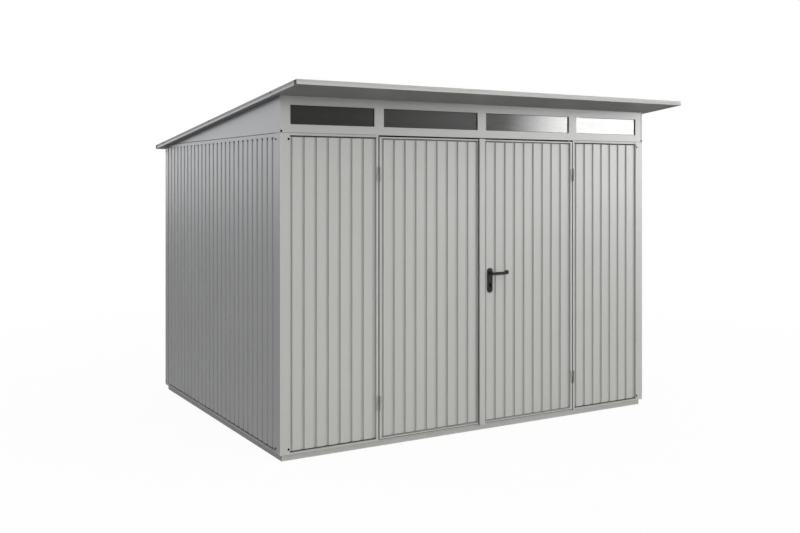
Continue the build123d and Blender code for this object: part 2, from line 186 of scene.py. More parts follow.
class Group(Graph):
    """A shader group with a Vector input, number inputs and number outputs."""

    def __init__(self, name: str, values: dict[str, float],
                 results: tuple[str, ...] = ("Mask",)) -> None:
        """Start the group.

        Args:
            name: The group's name.
            values: Each number input's name and its value.
            results: The names of the outputs.
        """
        super().__init__(bpy.data.node_groups.new(name, "ShaderNodeTree"))
        face = self.tree.interface
        face.new_socket("Vector", in_out="INPUT", socket_type="NodeSocketVector")
        for label, value in values.items():
            socket = face.new_socket(label, in_out="INPUT", socket_type="NodeSocketFloat")
            socket.default_value = value
        for label in results:
            face.new_socket(label, in_out="OUTPUT", socket_type="NodeSocketFloat")
        self.source = self.add("NodeGroupInput").outputs
        self.sink = self.add("NodeGroupOutput").inputs
        self.place = self.source["Vector"]

    def mask(self, first: Socket, second: Socket) -> bpy.types.NodeTree:
        """Put out the product of two masks and the Amount input.

        Args:
            first: The first mask.
            second: The second mask.

        Returns:
            The finished group.
        """
        both = self.math("MULTIPLY", first, second)
        amount = self.math("MULTIPLY", both, self.source["Amount"], clamp=True)
        self.feed(amount, self.sink["Mask"])
        return self.tree


class Effects:
    """The shader groups that several finishes share, each built once.

    All but mottle and grain put out a Mask from 0 to 1.
    """

    def __init__(self) -> None:
        """Build every group."""
        self.mottle = self._mottle()
        self.streaks = self._streaks()
        self.dust = self._dust()
        self.wear = self._wear()
        self.grain = self._grain()
        self.groove_shading = self._groove_shading()
        self.proud_darkening = self._proud_darkening()

    @staticmethod
    def _mottle() -> bpy.types.NodeTree:
        """Soft uneven tone of a coat over a large sheet.

        Returns:
            A group that puts out Value, about 1 on average.
        """
        group = Group("coat_mottle", {"Scale": 1.5, "Strength": 0.1}, ("Value",))
        lumps = group.noise(group.place, group.source["Scale"], 4.0, 0.5)
        centred = group.math("SUBTRACT", lumps, 0.5)
        spread = group.math("MULTIPLY", centred, group.source["Strength"])
        doubled = group.math("MULTIPLY", spread, 2.0)
        group.feed(group.math("ADD", doubled, 1.0), group.sink["Value"])
        return group.tree

    @staticmethod
    def _streaks() -> bpy.types.NodeTree:
        """Marks that rain leaves as it runs down a wall.

        Returns:
            The finished group.
        """
        group = Group("rain_streaks", {"Fineness": 38.0, "Amount": 0.5})
        long = group.add("ShaderNodeMapping", {"Vector": group.place, "Scale": (1.0, 1.0, 0.035)})
        thin = group.noise(long.outputs[0], group.source["Fineness"], 2.0, 0.5)
        patches = group.ramp(group.noise(group.place, 1.1), 0.4, 0.7)
        return group.mask(group.ramp(thin, 0.56, 0.8), patches)

    @staticmethod
    def _dust() -> bpy.types.NodeTree:
        """Splash dirt that thickens towards the ground.

        Returns:
            The finished group.
        """
        group = Group("ground_dust", {"Reach": 0.4, "Amount": 0.5})
        rise = group.math("DIVIDE", group.split(group.place)[2], group.source["Reach"])
        ragged = group.math("MULTIPLY", group.noise(group.place, 9.0, 5.0), 0.6)
        low = group.ramp(group.math("ADD", rise, ragged), 0.15, 1.3, 1.0, 0.0)
        speckle = group.ramp(group.noise(group.place, 60.0, 4.0), 0.3, 0.75)
        return group.mask(low, speckle)

    @staticmethod
    def _wear() -> bpy.types.NodeTree:
        """Brightening along folds and edges, where a coat is thinnest.

        Returns:
            The finished group.
        """
        group = Group("edge_wear", {"Radius": 0.002, "Amount": 0.5})
        bevel = group.add("ShaderNodeBevel", {"Radius": group.source["Radius"]}, samples=4)
        surface = group.add("ShaderNodeNewGeometry")
        bend = group.ramp(group.dot(bevel.outputs[0], surface.outputs["Normal"]), 0.995, 0.8)
        return group.mask(bend, group.ramp(group.noise(group.place, 24.0, 4.0), 0.3, 0.7))

    @staticmethod
    def _grain() -> bpy.types.NodeTree:
        """Fine unevenness of a sprayed or rolled coat.

        Returns:
            A group that puts out Height in metres, and Tone, about 0.5 on average.
        """
        group = Group("coat_grain", {"Scale": 700.0, "Depth": 0.00003}, ("Height", "Tone"))
        tone = group.noise(group.place, group.source["Scale"], 1.0, 0.5)
        group.feed(group.math("MULTIPLY", tone, group.source["Depth"]), group.sink["Height"])
        group.feed(tone, group.sink["Tone"])
        return group.tree

    @staticmethod
    def _groove_shading() -> bpy.types.NodeTree:
        """Painted shade in the grooves of the wall sheets, by their depth behind the walls'
        planes.

        Returns:
            The finished group.
        """
        group = Group("painted_groove_shade_group", {"Low": 0.0045, "High": 0.009, "Amount": 0.5})
        corners = (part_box("post_front_left")[0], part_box("post_back_right")[1])
        parts = group.split(group.place)
        depths = [group.math("ABSOLUTE", group.math("SUBTRACT", parts[axis], corner[axis]))
                  for axis in (0, 1) for corner in corners]
        nearest = group.math("MINIMUM", group.math("MINIMUM", *depths[:2]),
                             group.math("MINIMUM", *depths[2:]))
        uneven = group.ramp(group.noise(group.place, 16.0, 4.0), 0.2, 0.8, 0.75, 1.0)
        deep = group.ramp(nearest, group.source["Low"], group.source["High"])
        return group.mask(deep, uneven)

    @staticmethod
    def _proud_darkening() -> bpy.types.NodeTree:
        """Darkening of the parts that stand out in front of the wall, such as knuckles.

        Returns:
            The finished group.
        """
        group = Group("knuckle_darkening", {"Near": 0.0028, "Far": 0.0036, "Amount": 0.9})
        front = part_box("post_front_left")[0].y
        proud = group.math("SUBTRACT", front, group.split(group.place)[1])
        uneven = group.ramp(group.noise(group.place, 90.0, 4.0), 0.2, 0.8, 0.8, 1.0)
        return group.mask(group.ramp(proud, group.source["Near"], group.source["Far"]), uneven)


def start_material(name: str) -> tuple[bpy.types.Material, Graph, object, Socket]:
    """Start a material.

    Args:
        name: The material's name.

    Returns:
        The material, its writer, its shader's inputs and its Object coordinates.
    """
    material = bpy.data.materials.new(name)
    material.use_nodes = True
    graph = Graph(material.node_tree)
    place = graph.add("ShaderNodeTexCoord").outputs["Object"]
    return material, graph, graph.tree.nodes["Principled BSDF"].inputs, place


@dataclass(frozen=True)
class Paint:
    """A sprayed or rolled metal paint."""

    name: str
    colour: Colour
    metallic: float = 0.0
    roughness: float = 0.3
    specular: float = 0.5
    mottle: float = 0.05
    mottle_scale: float = 1.3
    streaks: float = 0.35
    dust: float = 0.13
    dust_reach: float = 0.4
    wear: float = 0.35
    wear_radius: float = 0.0016
    grain_scale: float = 700.0
    grain_depth: float = 0.00003
    painted_groove_shade: float = 0.0
    proud_darkening: float = 0.0

    dust_colour = opaque(0.31, 0.30, 0.28)
    wear_colour = opaque(0.72, 0.72, 0.71)
    proud_dark_colour = opaque(0.035, 0.033, 0.03)
    streak_shade = 0.86
    valley_shade = 0.6
    dust_dulling = 0.35
    streak_dulling = 0.12
    roughness_play = 0.04
    grain_strength = 0.6

    def shaded(self, share: float) -> tuple[float, float, float, float]:
        """Give a share of the paint's own colour."""
        return opaque(*(share * part for part in self.colour))

    def build(self, effects: Effects) -> bpy.types.Material:
        """Make the material.

        Args:
            effects: The shared shader groups.

        Returns:
            The finished material.
        """
        material, graph, shader, place = start_material(self.name)
        material.diffuse_color = opaque(*self.colour)

        def effect(group: bpy.types.NodeTree, **values: float) -> bpy.types.bpy_prop_collection:
            """Place a shared group with its own values."""
            return graph.add("ShaderNodeGroup", {"Vector": place, **values},
                             node_tree=group).outputs

        mottle = effect(effects.mottle, Scale=self.mottle_scale, Strength=self.mottle)[0]
        streaks = effect(effects.streaks, Amount=self.streaks)[0]
        dust = effect(effects.dust, Reach=self.dust_reach, Amount=self.dust)[0]
        wear = effect(effects.wear, Radius=self.wear_radius, Amount=self.wear)[0]
        grain = effect(effects.grain, Scale=self.grain_scale, Depth=self.grain_depth)
        flake = graph.ramp(grain["Tone"], 0.25, 0.75, 0.97, 1.03)
        tone = graph.scaled(graph.scaled(self.colour, mottle), flake)
        tone = graph.mix(streaks, tone, self.shaded(self.streak_shade))
        # Painted shade: the sheet is darkened in its grooves, where they lie deep behind the
        # wall's plane.
        if self.painted_groove_shade > 0.0:
            painted_groove_shade = effect(effects.groove_shading, Amount=self.painted_groove_shade)[0]
            tone = graph.mix(painted_groove_shade, tone, self.shaded(self.valley_shade))
        tone = graph.mix(wear, tone, self.wear_colour)
        # Darker where the part stands proud of the wall, as on the hinges' knuckles.
        if self.proud_darkening > 0.0:
            proud_darkening = effect(effects.proud_darkening, Amount=self.proud_darkening)[0]
            tone = graph.mix(proud_darkening, tone, self.proud_dark_colour)
        graph.feed(graph.mix(dust, tone, self.dust_colour), shader["Base Color"])
        uneven = graph.ramp(grain["Tone"], 0.2, 0.8, self.roughness - self.roughness_play,
                            self.roughness + self.roughness_play)
        dull = graph.math("ADD", graph.math("MULTIPLY", dust, self.dust_dulling),
                          graph.math("MULTIPLY", streaks, self.streak_dulling))
        graph.feed(graph.math("ADD", uneven, dull, clamp=True), shader["Roughness"])
        bump = graph.add("ShaderNodeBump", {"Height": grain["Height"], "Distance": 1.0,
                                            "Strength": self.grain_strength})
        graph.feed(bump.outputs[0], shader["Normal"])
        shader["Metallic"].default_value = self.metallic
        shader["Specular IOR Level"].default_value = self.specular
        return material


@dataclass(frozen=True)
class Glass:
    """Clear glazing sheet, slightly smoked, with a thin film of dust."""

    name: str
    tint: Colour = (0.34, 0.345, 0.34)
    film_tint: Colour = (0.28, 0.285, 0.28)
    film: float = 0.25
    film_scale: float = 14.0
    film_haze: float = 0.03
    streak_fineness: float = 60.0
    streak_amount: float = 0.5
    streak_haze: float = 0.08
    roughness: float = 0.02
    clearness: float = 0.97
    refraction: float = 1.59

    def build(self, effects: Effects) -> bpy.types.Material:
        """Make the material.

        Args:
            effects: The shared shader groups.

        Returns:
            The finished material.
        """
        material, graph, shader, place = start_material(self.name)
        streaks = graph.add("ShaderNodeGroup", {"Vector": place, "Fineness": self.streak_fineness,
                                                "Amount": self.streak_amount},
                            node_tree=effects.streaks)
        film = graph.noise(place, self.film_scale, 4.0)
        haze = graph.ramp(film, 0.35, 0.75, self.roughness, self.roughness + self.film_haze)
        smear = graph.math("MULTIPLY", streaks.outputs[0], self.streak_haze)
        graph.feed(graph.math("ADD", haze, smear), shader["Roughness"])
        tone = graph.mix(graph.ramp(film, 0.3, 0.8, 0.0, self.film), opaque(*self.tint),
                         opaque(*self.film_tint))
        graph.feed(tone, shader["Base Color"])
        shader["Transmission Weight"].default_value = self.clearness
        shader["IOR"].default_value = self.refraction
        return material


class Finishes:
    """Every finish of the shed, by the name of its slot in the record."""

    def __init__(self, effects: Effects) -> None:
        """Build the finishes.

        Args:
            effects: The shared shader groups.
        """
        # Shared settings of the two foams that are painted shade in the sheets' gaps.
        gap_shade_foam = {"roughness": 0.92, "specular": 0.1, "wear": 0.0, "dust": 0.1, "streaks": 0.0,
                "grain_scale": 420.0, "grain_depth": 0.0004}
        finishes = (
            Paint("frame_paint", (0.457, 0.457, 0.447), wear=0.4),
            # The ribbed sheets carry painted shade in their grooves.
            Paint("sheet_paint", (0.464, 0.464, 0.453), wear=0.3, painted_groove_shade=0.33),
            Paint("roof_paint", (0.42, 0.42, 0.41), roughness=0.4, dust=0.1, dust_reach=0.1),
            Paint("base_paint", (0.425, 0.425, 0.42), dust=0.25, wear=0.25),
            # The hinges are darkened where they stand proud of the wall.
            Paint("hinge_paint", (0.42, 0.42, 0.41), wear=0.6, proud_darkening=0.72),
            Paint("handle_black", (0.011, 0.011, 0.011), roughness=0.24, specular=0.36,
                  wear=0.03, dust=0.0, streaks=0.1, grain_scale=1500.0),
            Paint("lock_steel", (0.5, 0.5, 0.5), metallic=1.0, roughness=0.36,
                  wear=0.3, dust=0.0, streaks=0.1, grain_scale=1500.0),
            # Dark seam strips: painted shade for the seams' shadow lines.
            Paint("seam_shade_sealant", (0.10, 0.10, 0.098), roughness=0.7, specular=0.3, wear=0.0,
                  dust=0.1, streaks=0.1, grain_scale=600.0),
            Paint("screw_black", (0.008, 0.008, 0.008), roughness=0.6, specular=0.08,
                  wear=0.1, dust=0.0, streaks=0.0, grain_scale=1500.0),
            Paint("rubber", (0.016, 0.016, 0.016), roughness=0.62, specular=0.25, wear=0.05,
                  dust=0.2, streaks=0.1, grain_scale=900.0),
            # Near-black foam for the walls' gaps and grey foam for the leaves' gaps: painted
            # shade.
            Paint("gap_shade_foam", (0.07, 0.07, 0.07), **gap_shade_foam),
            Paint("pale_gap_shade_foam", (0.27, 0.27, 0.265), **gap_shade_foam),
            Paint("zinc", (0.62, 0.63, 0.64), metallic=1.0, roughness=0.38, wear=0.2,
                  dust=0.2, streaks=0.2, mottle=0.16, mottle_scale=18.0, grain_scale=900.0),
            # Near-black keyholes: painted shade for the dark inside of the lock.
            Paint("keyhole_shade_black", (0.001, 0.001, 0.001), roughness=0.8, specular=0.02, wear=0.0,
                  dust=0.0, streaks=0.0, grain_scale=1800.0),
            Glass("window_glass"),
        )
        self.by_name = {finish.name: finish.build(effects) for finish in finishes}

    def dress(self, thing: bpy.types.Object, name: str) -> None:
        """Give every material slot of an object one finish.

        Args:
            thing: The object to dress.
            name: The finish's name.
        """
        if not thing.material_slots:
            thing.data.materials.append(self.by_name[name])
        for slot in thing.material_slots:
            slot.material = self.by_name[name]


class Body(Enum):
    """The bodies of the part that pieces ride on."""

    SHED = "shed"
    LEFT_LEAF = "left_leaf"
    RIGHT_LEAF = "right_leaf"


@dataclass(frozen=True)
class Layout:
    """Sizes of the solids in millimetres, from the outer foot of the front left post."""

    width: float = 3060.0
    depth: float = 2425.0
    sill_top: float = 41.0
    seam: float = 2050.0
    post_face: float = 67.0
    post_side: float = 75.0
    jamb: float = 16.0
    door_left: float = 699.0
    door_right: float = 2358.0
    door_top: float = 2050.5
    leaf_low: float = 49.0
    leaf_high: float = 2039.5
    left_leaf: Span = (707.0, 1497.0)
    right_leaf: Span = (1504.0, 2350.0)
    strip_low: float = 1509.0
    leaf_depth: float = 30.0
    hinge_levels: Span = (290.0, 1792.0)
    handle_x: float = 1598.0
    spindle: float = 1098.0
    key: float = 1022.0
    plate: Span = (961.0, 1135.0)
    roof_side: float = 48.0
    eave: float = 2283.0
    slope: float = 5.873
    beams: tuple[float, ...] = (560.0, 1160.0, 1760.0)
    beam_width: float = 40.0

    @staticmethod
    def at(x: float, y: float, z: float) -> Vector:
        """Give a place in metres in the shared frame.

        Args:
            x: Millimetres to the right of the front left post's outer corner.
            y: Millimetres behind the front wall's face.
            z: Millimetres above the ground.

        Returns:
            The place.
        """
        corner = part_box("post_front_left")[0]
        return Vector((corner.x + x / 1000.0, corner.y + y / 1000.0, z / 1000.0))

    def end(self, x: float, mirrored: bool) -> float:
        """Measure x from the building's left end, or from its right end if mirrored."""
        return self.width - x if mirrored else x

    def across(self, span: Span, mirrored: bool) -> Span:
        """Measure a span in x from the left end, or from the right end if mirrored."""
        return (self.end(span[0], mirrored), self.end(span[1], mirrored))

    def beside_door(self, outer: float, inner: float) -> tuple[Span, Span]:
        """Give the two spans in x between the building's ends and the doorway.

        Args:
            outer: How far they start from the building's ends.
            inner: How far they end from the doorway.

        Returns:
            The left span and the right span.
        """
        return ((outer, self.door_left - inner), (self.door_right + inner, self.width - outer))

    def roof_under(self, y: float) -> float:
        """Give the height of the roof's underside at a depth, in millimetres."""
        return self.eave - y * math.tan(math.radians(self.slope))

    def roof_up(self) -> Vector:
        """Give the way that is square to the roof."""
        turn = math.radians(self.slope)
        return Vector((0.0, math.sin(turn), math.cos(turn)))


PLAN = Layout()
FRONT = Vector((0.0, -1.0, 0.0))
BACK = Vector((0.0, 1.0, 0.0))
LEFT = Vector((-1.0, 0.0, 0.0))
RIGHT = Vector((1.0, 0.0, 0.0))
UP = Vector((0.0, 0.0, 1.0))
SIDES = ((False, LEFT), (True, RIGHT))


def to_object(mesh: bmesh.types.BMesh, name: str) -> bpy.types.Object:
    """Turn a mesh in the making into an object at the origin.

    Args:
        mesh: The mesh, which is freed.
        name: The object's name.

    Returns:
        The new object.
    """
    data = bpy.data.meshes.new(name)
    mesh.to_mesh(data)
    mesh.free()
    thing = bpy.data.objects.new(name, data)
    bpy.context.scene.collection.objects.link(thing)
    return thing


class Piece:
    """A mesh in the making that becomes one object riding on a body."""

    def __init__(self, name: str, body: Body, finish: str) -> None:
        """Start an empty mesh.

        Args:
            name: The object's name.
            body: The body that it rides on.
            finish: The name of its finish.
        """
        self.name = name
        self.body = body
        self.finish = finish
        self.mesh = bmesh.new()

    def drum(self, place: Vector, axis: Vector, radius: float, depth: float, sides: int = 20,
             bevel: float = 0.0) -> None:
        """Add a disc or prism that stands on a place and points along an axis, in metres.

        Args:
            place: The middle of its foot.
            axis: The way it points.
            radius: Its radius.
            depth: Its height along the axis.
            sides: How many sides it has.
            bevel: The width of the bevel round its free edge.
        """
        turn = axis.to_track_quat("Z", "Y").to_matrix().to_4x4()
        middle = Matrix.Translation(place + axis * depth / 2) @ turn
        made = bmesh.ops.create_cone(self.mesh, cap_ends=True, segments=sides, radius1=radius,
                                     radius2=radius, depth=depth, matrix=middle)
        self.soften([edge for vert in made["verts"] for edge in vert.link_edges
                     if all((v.co - place).dot(axis) > depth * 0.9 for v in edge.verts)], bevel)

    def bar(self, x: Span, y: Span, z: Span, bevel: float = 0.0) -> None:
        """Add a box over three spans in the layout's millimetres.

        Args:
            x: Its span to the right.
            y: Its span to the back.
            z: Its span upwards.
            bevel: The width of the bevel along its edges, in metres.
        """
        low = PLAN.at(min(x), min(y), min(z))
        high = PLAN.at(max(x), max(y), max(z))
        place = Matrix.Translation((low + high) / 2) @ Matrix.Diagonal((*(high - low), 1.0))
        made = bmesh.ops.create_cube(self.mesh, size=1.0, matrix=place)
        self.soften([edge for vert in made["verts"] for edge in vert.link_edges], bevel)

    def soften(self, edges: list[bmesh.types.BMEdge], width: float) -> None:
        """Bevel some edges, if the width is above zero."""
        if width > 0.0:
            bmesh.ops.bevel(self.mesh, geom=list(dict.fromkeys(edges)), offset=width,
                            affect="EDGES", segments=2, profile=0.5, material=-1)

    def finish_up(self, finishes: Finishes) -> None:
        """Make the object, dress it and put it on its body.

        Args:
            finishes: The finishes to dress it from.
        """
        bmesh.ops.recalc_face_normals(self.mesh, faces=self.mesh.faces)
        thing = to_object(self.mesh, self.name)
        finishes.dress(thing, self.finish)
        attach(thing, self.body.value)
        LOG.info("piece %s on %s: %d faces", self.name, self.body.value,
                 len(thing.data.polygons))


@dataclass(frozen=True)
class Screw:
    """A screw's head, with a washer under it if washer_radius is above zero, in metres."""

    head_radius: float
    head_depth: float
    washer_radius: float = 0.0
    washer_depth: float = 0.0
    sides: int = 6
    socket: float = 0.0

    socket_mark = 0.0002
    washer_round = 0.3
    head_round = 0.25

    def add(self, piece: Piece, place: Vector, axis: Vector) -> None:
        """Add the screw's head to a piece.

        Args:
            piece: The piece that the head joins.
            place: Where the screw meets the sheet.
            axis: The way the head points.
        """
        foot = place
        if self.washer_radius > 0.0:
            piece.drum(place, axis, self.washer_radius, self.washer_depth,
                       bevel=self.washer_depth * self.washer_round)
            foot = place + axis * self.washer_depth
        piece.drum(foot, axis, self.head_radius, self.head_depth, sides=self.sides,
                   bevel=self.head_depth * self.head_round)
        if self.socket > 0.0:
            piece.drum(foot + axis * self.head_depth, axis, self.socket, self.socket_mark,
                       sides=6)


PAN_HEAD = Screw(0.0058, 0.0020, 0.0074, 0.0008, sides=20, socket=0.0020)
FLAT_HEAD = Screw(0.0032, 0.0006, sides=16, socket=0.0014)
BOLT_HEAD = Screw(0.0075, 0.0055, 0.0110, 0.0016)
VERGE_HEAD = Screw(0.0068, 0.0014, sides=20)
DECK_HEAD = Screw(0.0045, 0.0036, 0.0078, 0.0010)
PLATE_HEAD = Screw(0.0038, 0.0012, sides=24, socket=0.0016)


RUBBER_BEVEL = 0.0006  # in metres, as the two after it
SHEET_BEVEL = 0.0004
THIN_BEVEL = 0.0003


@dataclass
class Fittings:
    """A set of small pieces; sizes are in millimetres where no comment says otherwise."""

    pieces: list[Piece] = field(default_factory=list, init=False)

    def start(self, name: str, finish: str, body: Body = Body.SHED) -> Piece:
        """Start a piece of the set."""
        self.pieces.append(Piece(name, body, finish))
        return self.pieces[-1]

    def shape(self) -> None:
        """Shape the set's pieces."""
        raise NotImplementedError

    def build(self, finishes: Finishes) -> None:
        """Shape the set's pieces, dress them and put them on their bodies.

        Args:
            finishes: The finishes to dress them from.
        """
        self.shape()
        for piece in self.pieces:
            piece.finish_up(finishes)


@dataclass
class WallFixings(Fittings):
    """The screws of the corner posts and of the window strip's ends."""

    front_offset: float = 58.0
    side_offset: float = 66.0
    back_side_offset: float = 20.0
    low_rise: float = 33.0
    high_drop: float = 39.0
    strip_edge: float = 8.0
    strip_rise: float = 11.0

    def shape(self) -> None:
        """Put the screws on."""
        piece = self.start("post_screws", "screw_black")
        low = PLAN.sill_top + self.low_rise
        for mirrored, side in SIDES:
            outer, face = PLAN.across((0.0, self.front_offset), mirrored)
            for z in (low, PLAN.seam - self.high_drop):
                PAN_HEAD.add(piece, PLAN.at(face, 0.0, z), FRONT)
                PAN_HEAD.add(piece, PLAN.at(outer, self.side_offset, z), side)
            for z in (low, PLAN.roof_under(PLAN.depth) - self.high_drop):
                PAN_HEAD.add(piece, PLAN.at(face, PLAN.depth, z), BACK)
                PAN_HEAD.add(piece, PLAN.at(outer, PLAN.depth - self.back_side_offset, z), side)
            PAN_HEAD.add(piece, PLAN.at(PLAN.end(self.strip_edge, mirrored), 0.0,
                                        PLAN.seam + self.strip_rise), FRONT)


@dataclass
class RoofFixings(Fittings):
    """Screws on the roof's edges and on the ribs of its deck."""

    verge_places: tuple[float, ...] = (40.0, 1193.0, 2341.0)
    verge_height: float = 23.0
    verge_set_in: float = 1.75
    rib_first: float = 95.0
    rib_pitch: float = 190.0
    rib_count: int = 17
    rib_top: float = 29.0
    rows: tuple[float, ...] = (-250.0, 580.0, 1180.0, 1780.0, 2460.0)
    seal: Span = (0.0085, 0.0012)  # radius and depth in metres

    def shape(self) -> None:
        """Put the screws on."""
        verge = self.start("verge_screws", "screw_black")
        for y in self.verge_places:
            z = PLAN.roof_under(y) + self.verge_height
            for mirrored, side in SIDES:
                edge = PLAN.end(self.verge_set_in - PLAN.roof_side, mirrored)
                VERGE_HEAD.add(verge, PLAN.at(edge, y, z), side)
        rows = self.start("deck_screws", "roof_paint")
        seals = self.start("deck_screw_seals", "rubber")
        up = PLAN.roof_up()
        lift = self.rib_top / math.cos(math.radians(PLAN.slope))
        for y in self.rows:
            for number in range(self.rib_count):
                x = self.rib_first + number * self.rib_pitch - PLAN.roof_side
                foot = PLAN.at(x, y, PLAN.roof_under(y) + lift)
                seals.drum(foot, up, *self.seal, sides=16)
                DECK_HEAD.add(rows, foot + up * self.seal[1], up)


@dataclass
class Glazing(Fittings):
    """Rubber seals round the panes and the clips that hold the panes from inside."""

    panes: tuple[Span, ...] = ((70.0, 670.0), (740.0, 1495.0), (1565.0, 2320.0), (2390.0, 2990.0))
    wide_pane: float = 700.0
    low: float = 2104.0
    high: float = 2226.0
    depth: Span = (6.2, 9.0)
    width: float = 2.6
    clip_width: float = 26.0
    clip_depth: Span = (13.0, 15.0)
    pane_lap: float = 8.0
    clip_lap: float = 6.0
    clip_reach: float = 16.0
    screw_reach: float = 10.0

    def shape(self) -> None:
        """Lay the seals and set the clips."""
        seal = self.start("window_seals", "rubber")
        clips = self.start("window_clips", "frame_paint")
        screws = self.start("window_clip_screws", "zinc")
        for left, right in self.panes:
            for z in ((self.low, self.low + self.width), (self.high - self.width, self.high)):
                seal.bar((left, right), self.depth, z, RUBBER_BEVEL)
            for x in ((left, left + self.width), (right - self.width, right)):
                seal.bar(x, self.depth, (self.low, self.high), RUBBER_BEVEL)
            count = 3 if right - left > self.wide_pane else 2
            for number in range(count):
                x = left + (right - left) * (number + 0.5) / count
                across = around(x, self.clip_width / 2)
                for edge, away in ((self.low, -1.0), (self.high, 1.0)):
                    rim = edge + away * self.pane_lap
                    clips.bar(across, self.clip_depth,
                              (rim - away * self.clip_lap, rim + away * self.clip_reach),
                              SHEET_BEVEL)
                    FLAT_HEAD.add(screws, PLAN.at(x, self.clip_depth[1],
                                                  rim + away * self.screw_reach), BACK)


@dataclass
class DoorGapShade(Fittings):
    """Black rubber strips in the gaps round and between the leaves: painted shade that makes the
    gaps as dark as their shadow.
    """

    thick: float = 2.5
    front: float = 1.0
    back: float = 26.0
    head_back: float = 36.0
    stop_inset: float = 15.0
    stop_depth: Span = (37.5, 42.0)
    stop_drop: Span = (13.0, 2.0)
    meeting_depth: Span = (4.5, 10.0)
    meeting_gap: Span = (0.6, 0.2)
    shade_sweep: float = 4.0
    sweep_depth: Span = (4.0, 16.0)
    lift: float = 2.0
    edge_thick: float = 1.5
    edge_bevel: float = 0.0005  # in metres
    stop_bevel: float = 0.0008  # in metres

    def shape(self) -> None:
        """Lay the seals."""
        # The door gaps are filled with near-black rubber as painted shade.
        seal = self.start("door_frame_shade_seals", "rubber")
        left, right, top = PLAN.door_left, PLAN.door_right, PLAN.door_top
        inner = inset((left, right), self.thick)
        depth = (self.front, self.back)
        for x in ((left, inner[0]), (inner[1], right)):
            seal.bar(x, depth, (PLAN.sill_top + self.lift, top), RUBBER_BEVEL)
        seal.bar(inner, (self.front, self.head_back), (top - self.thick, top), RUBBER_BEVEL)
        seal.bar(inset((left, right), self.stop_inset), self.stop_depth,
                 (top - self.stop_drop[0], top - self.stop_drop[1]), self.stop_bevel)
        rise = inset((PLAN.leaf_low, PLAN.leaf_high), self.lift)
        self.start("meeting_shade_seal", "rubber", Body.RIGHT_LEAF).bar(
            (PLAN.right_leaf[0] + self.meeting_gap[0], PLAN.strip_low - self.meeting_gap[1]),
            self.meeting_depth, rise, RUBBER_BEVEL)
        for body, leaf in ((Body.LEFT_LEAF, PLAN.left_leaf), (Body.RIGHT_LEAF, PLAN.right_leaf)):
            self.start(f"{body.value}_sweep", "rubber", body).bar(
                inset(leaf, self.shade_sweep), self.sweep_depth,
                (PLAN.leaf_low - self.shade_sweep, PLAN.leaf_low), RUBBER_BEVEL)
        for body, x in ((Body.LEFT_LEAF, PLAN.left_leaf[0] - self.edge_thick),
                        (Body.RIGHT_LEAF, PLAN.right_leaf[1])):
            self.start(f"{body.value}_edge_shade_seal", "rubber", body).bar(
                (x, x + self.edge_thick), depth, rise, self.edge_bevel)


@dataclass
class SheetGapShade(Fittings):
    """Dark foam strips behind the gaps at the ends of the ribbed sheets: painted shade that
    stands in for the shadow inside the gaps.
    """

    depth: Span = (10.0, 23.0)
    leaf_depth: Span = (19.0, 23.0)
    flange: float = 26.0
    flange_depth: Span = (9.0, 13.0)
    flange_gap: float = 0.5
    low: Span = (52.0, 60.5)
    high: Span = (2026.5, 2035.0)
    side_high: Span = (2021.0, 2029.5)
    leaf_low: Span = (57.5, 66.0)
    leaf_high: Span = (2021.5, 2030.0)
    leaf_stile: float = 17.0
    meeting_edge: float = 3.0
    strip: float = 48.0

    def shape(self) -> None:
        """Lay the strips."""
        gap_shade_foam = self.start("wall_gap_shade_foam", "gap_shade_foam")
        for z in (self.low, self.high):
            for x0, x1 in PLAN.beside_door(PLAN.post_face, PLAN.jamb):
                start, end = inset((x0, x1), self.flange)
                gap_shade_foam.bar((start, end), self.depth, z)
                for x in ((x0 + self.flange_gap, start), (end, x1 - self.flange_gap)):
                    gap_shade_foam.bar(x, self.flange_depth, z)
        along = inset((PLAN.post_side, PLAN.depth - PLAN.post_side), self.flange)
        for z in (self.low, self.side_high):
            for mirrored, _ in SIDES:
                gap_shade_foam.bar(PLAN.across(self.depth, mirrored), along, z)
        gap_shade_foam.bar(inset((PLAN.post_face, PLAN.width - PLAN.post_face), self.flange),
                 (PLAN.depth - self.depth[1], PLAN.depth - self.depth[0]), self.low)
        spans = {Body.LEFT_LEAF: (PLAN.left_leaf[0] + self.leaf_stile,
                                  PLAN.left_leaf[1] - self.meeting_edge),
                 Body.RIGHT_LEAF: (PLAN.strip_low + self.strip,
                                   PLAN.right_leaf[1] - self.leaf_stile)}
        for body, x in spans.items():
            # The leaves' gaps get the grey foam, a lighter painted shade.
            strip = self.start(f"{body.value}_foam", "pale_gap_shade_foam", body)
            for z in (self.leaf_low, self.leaf_high):
                strip.bar(x, self.leaf_depth, z)


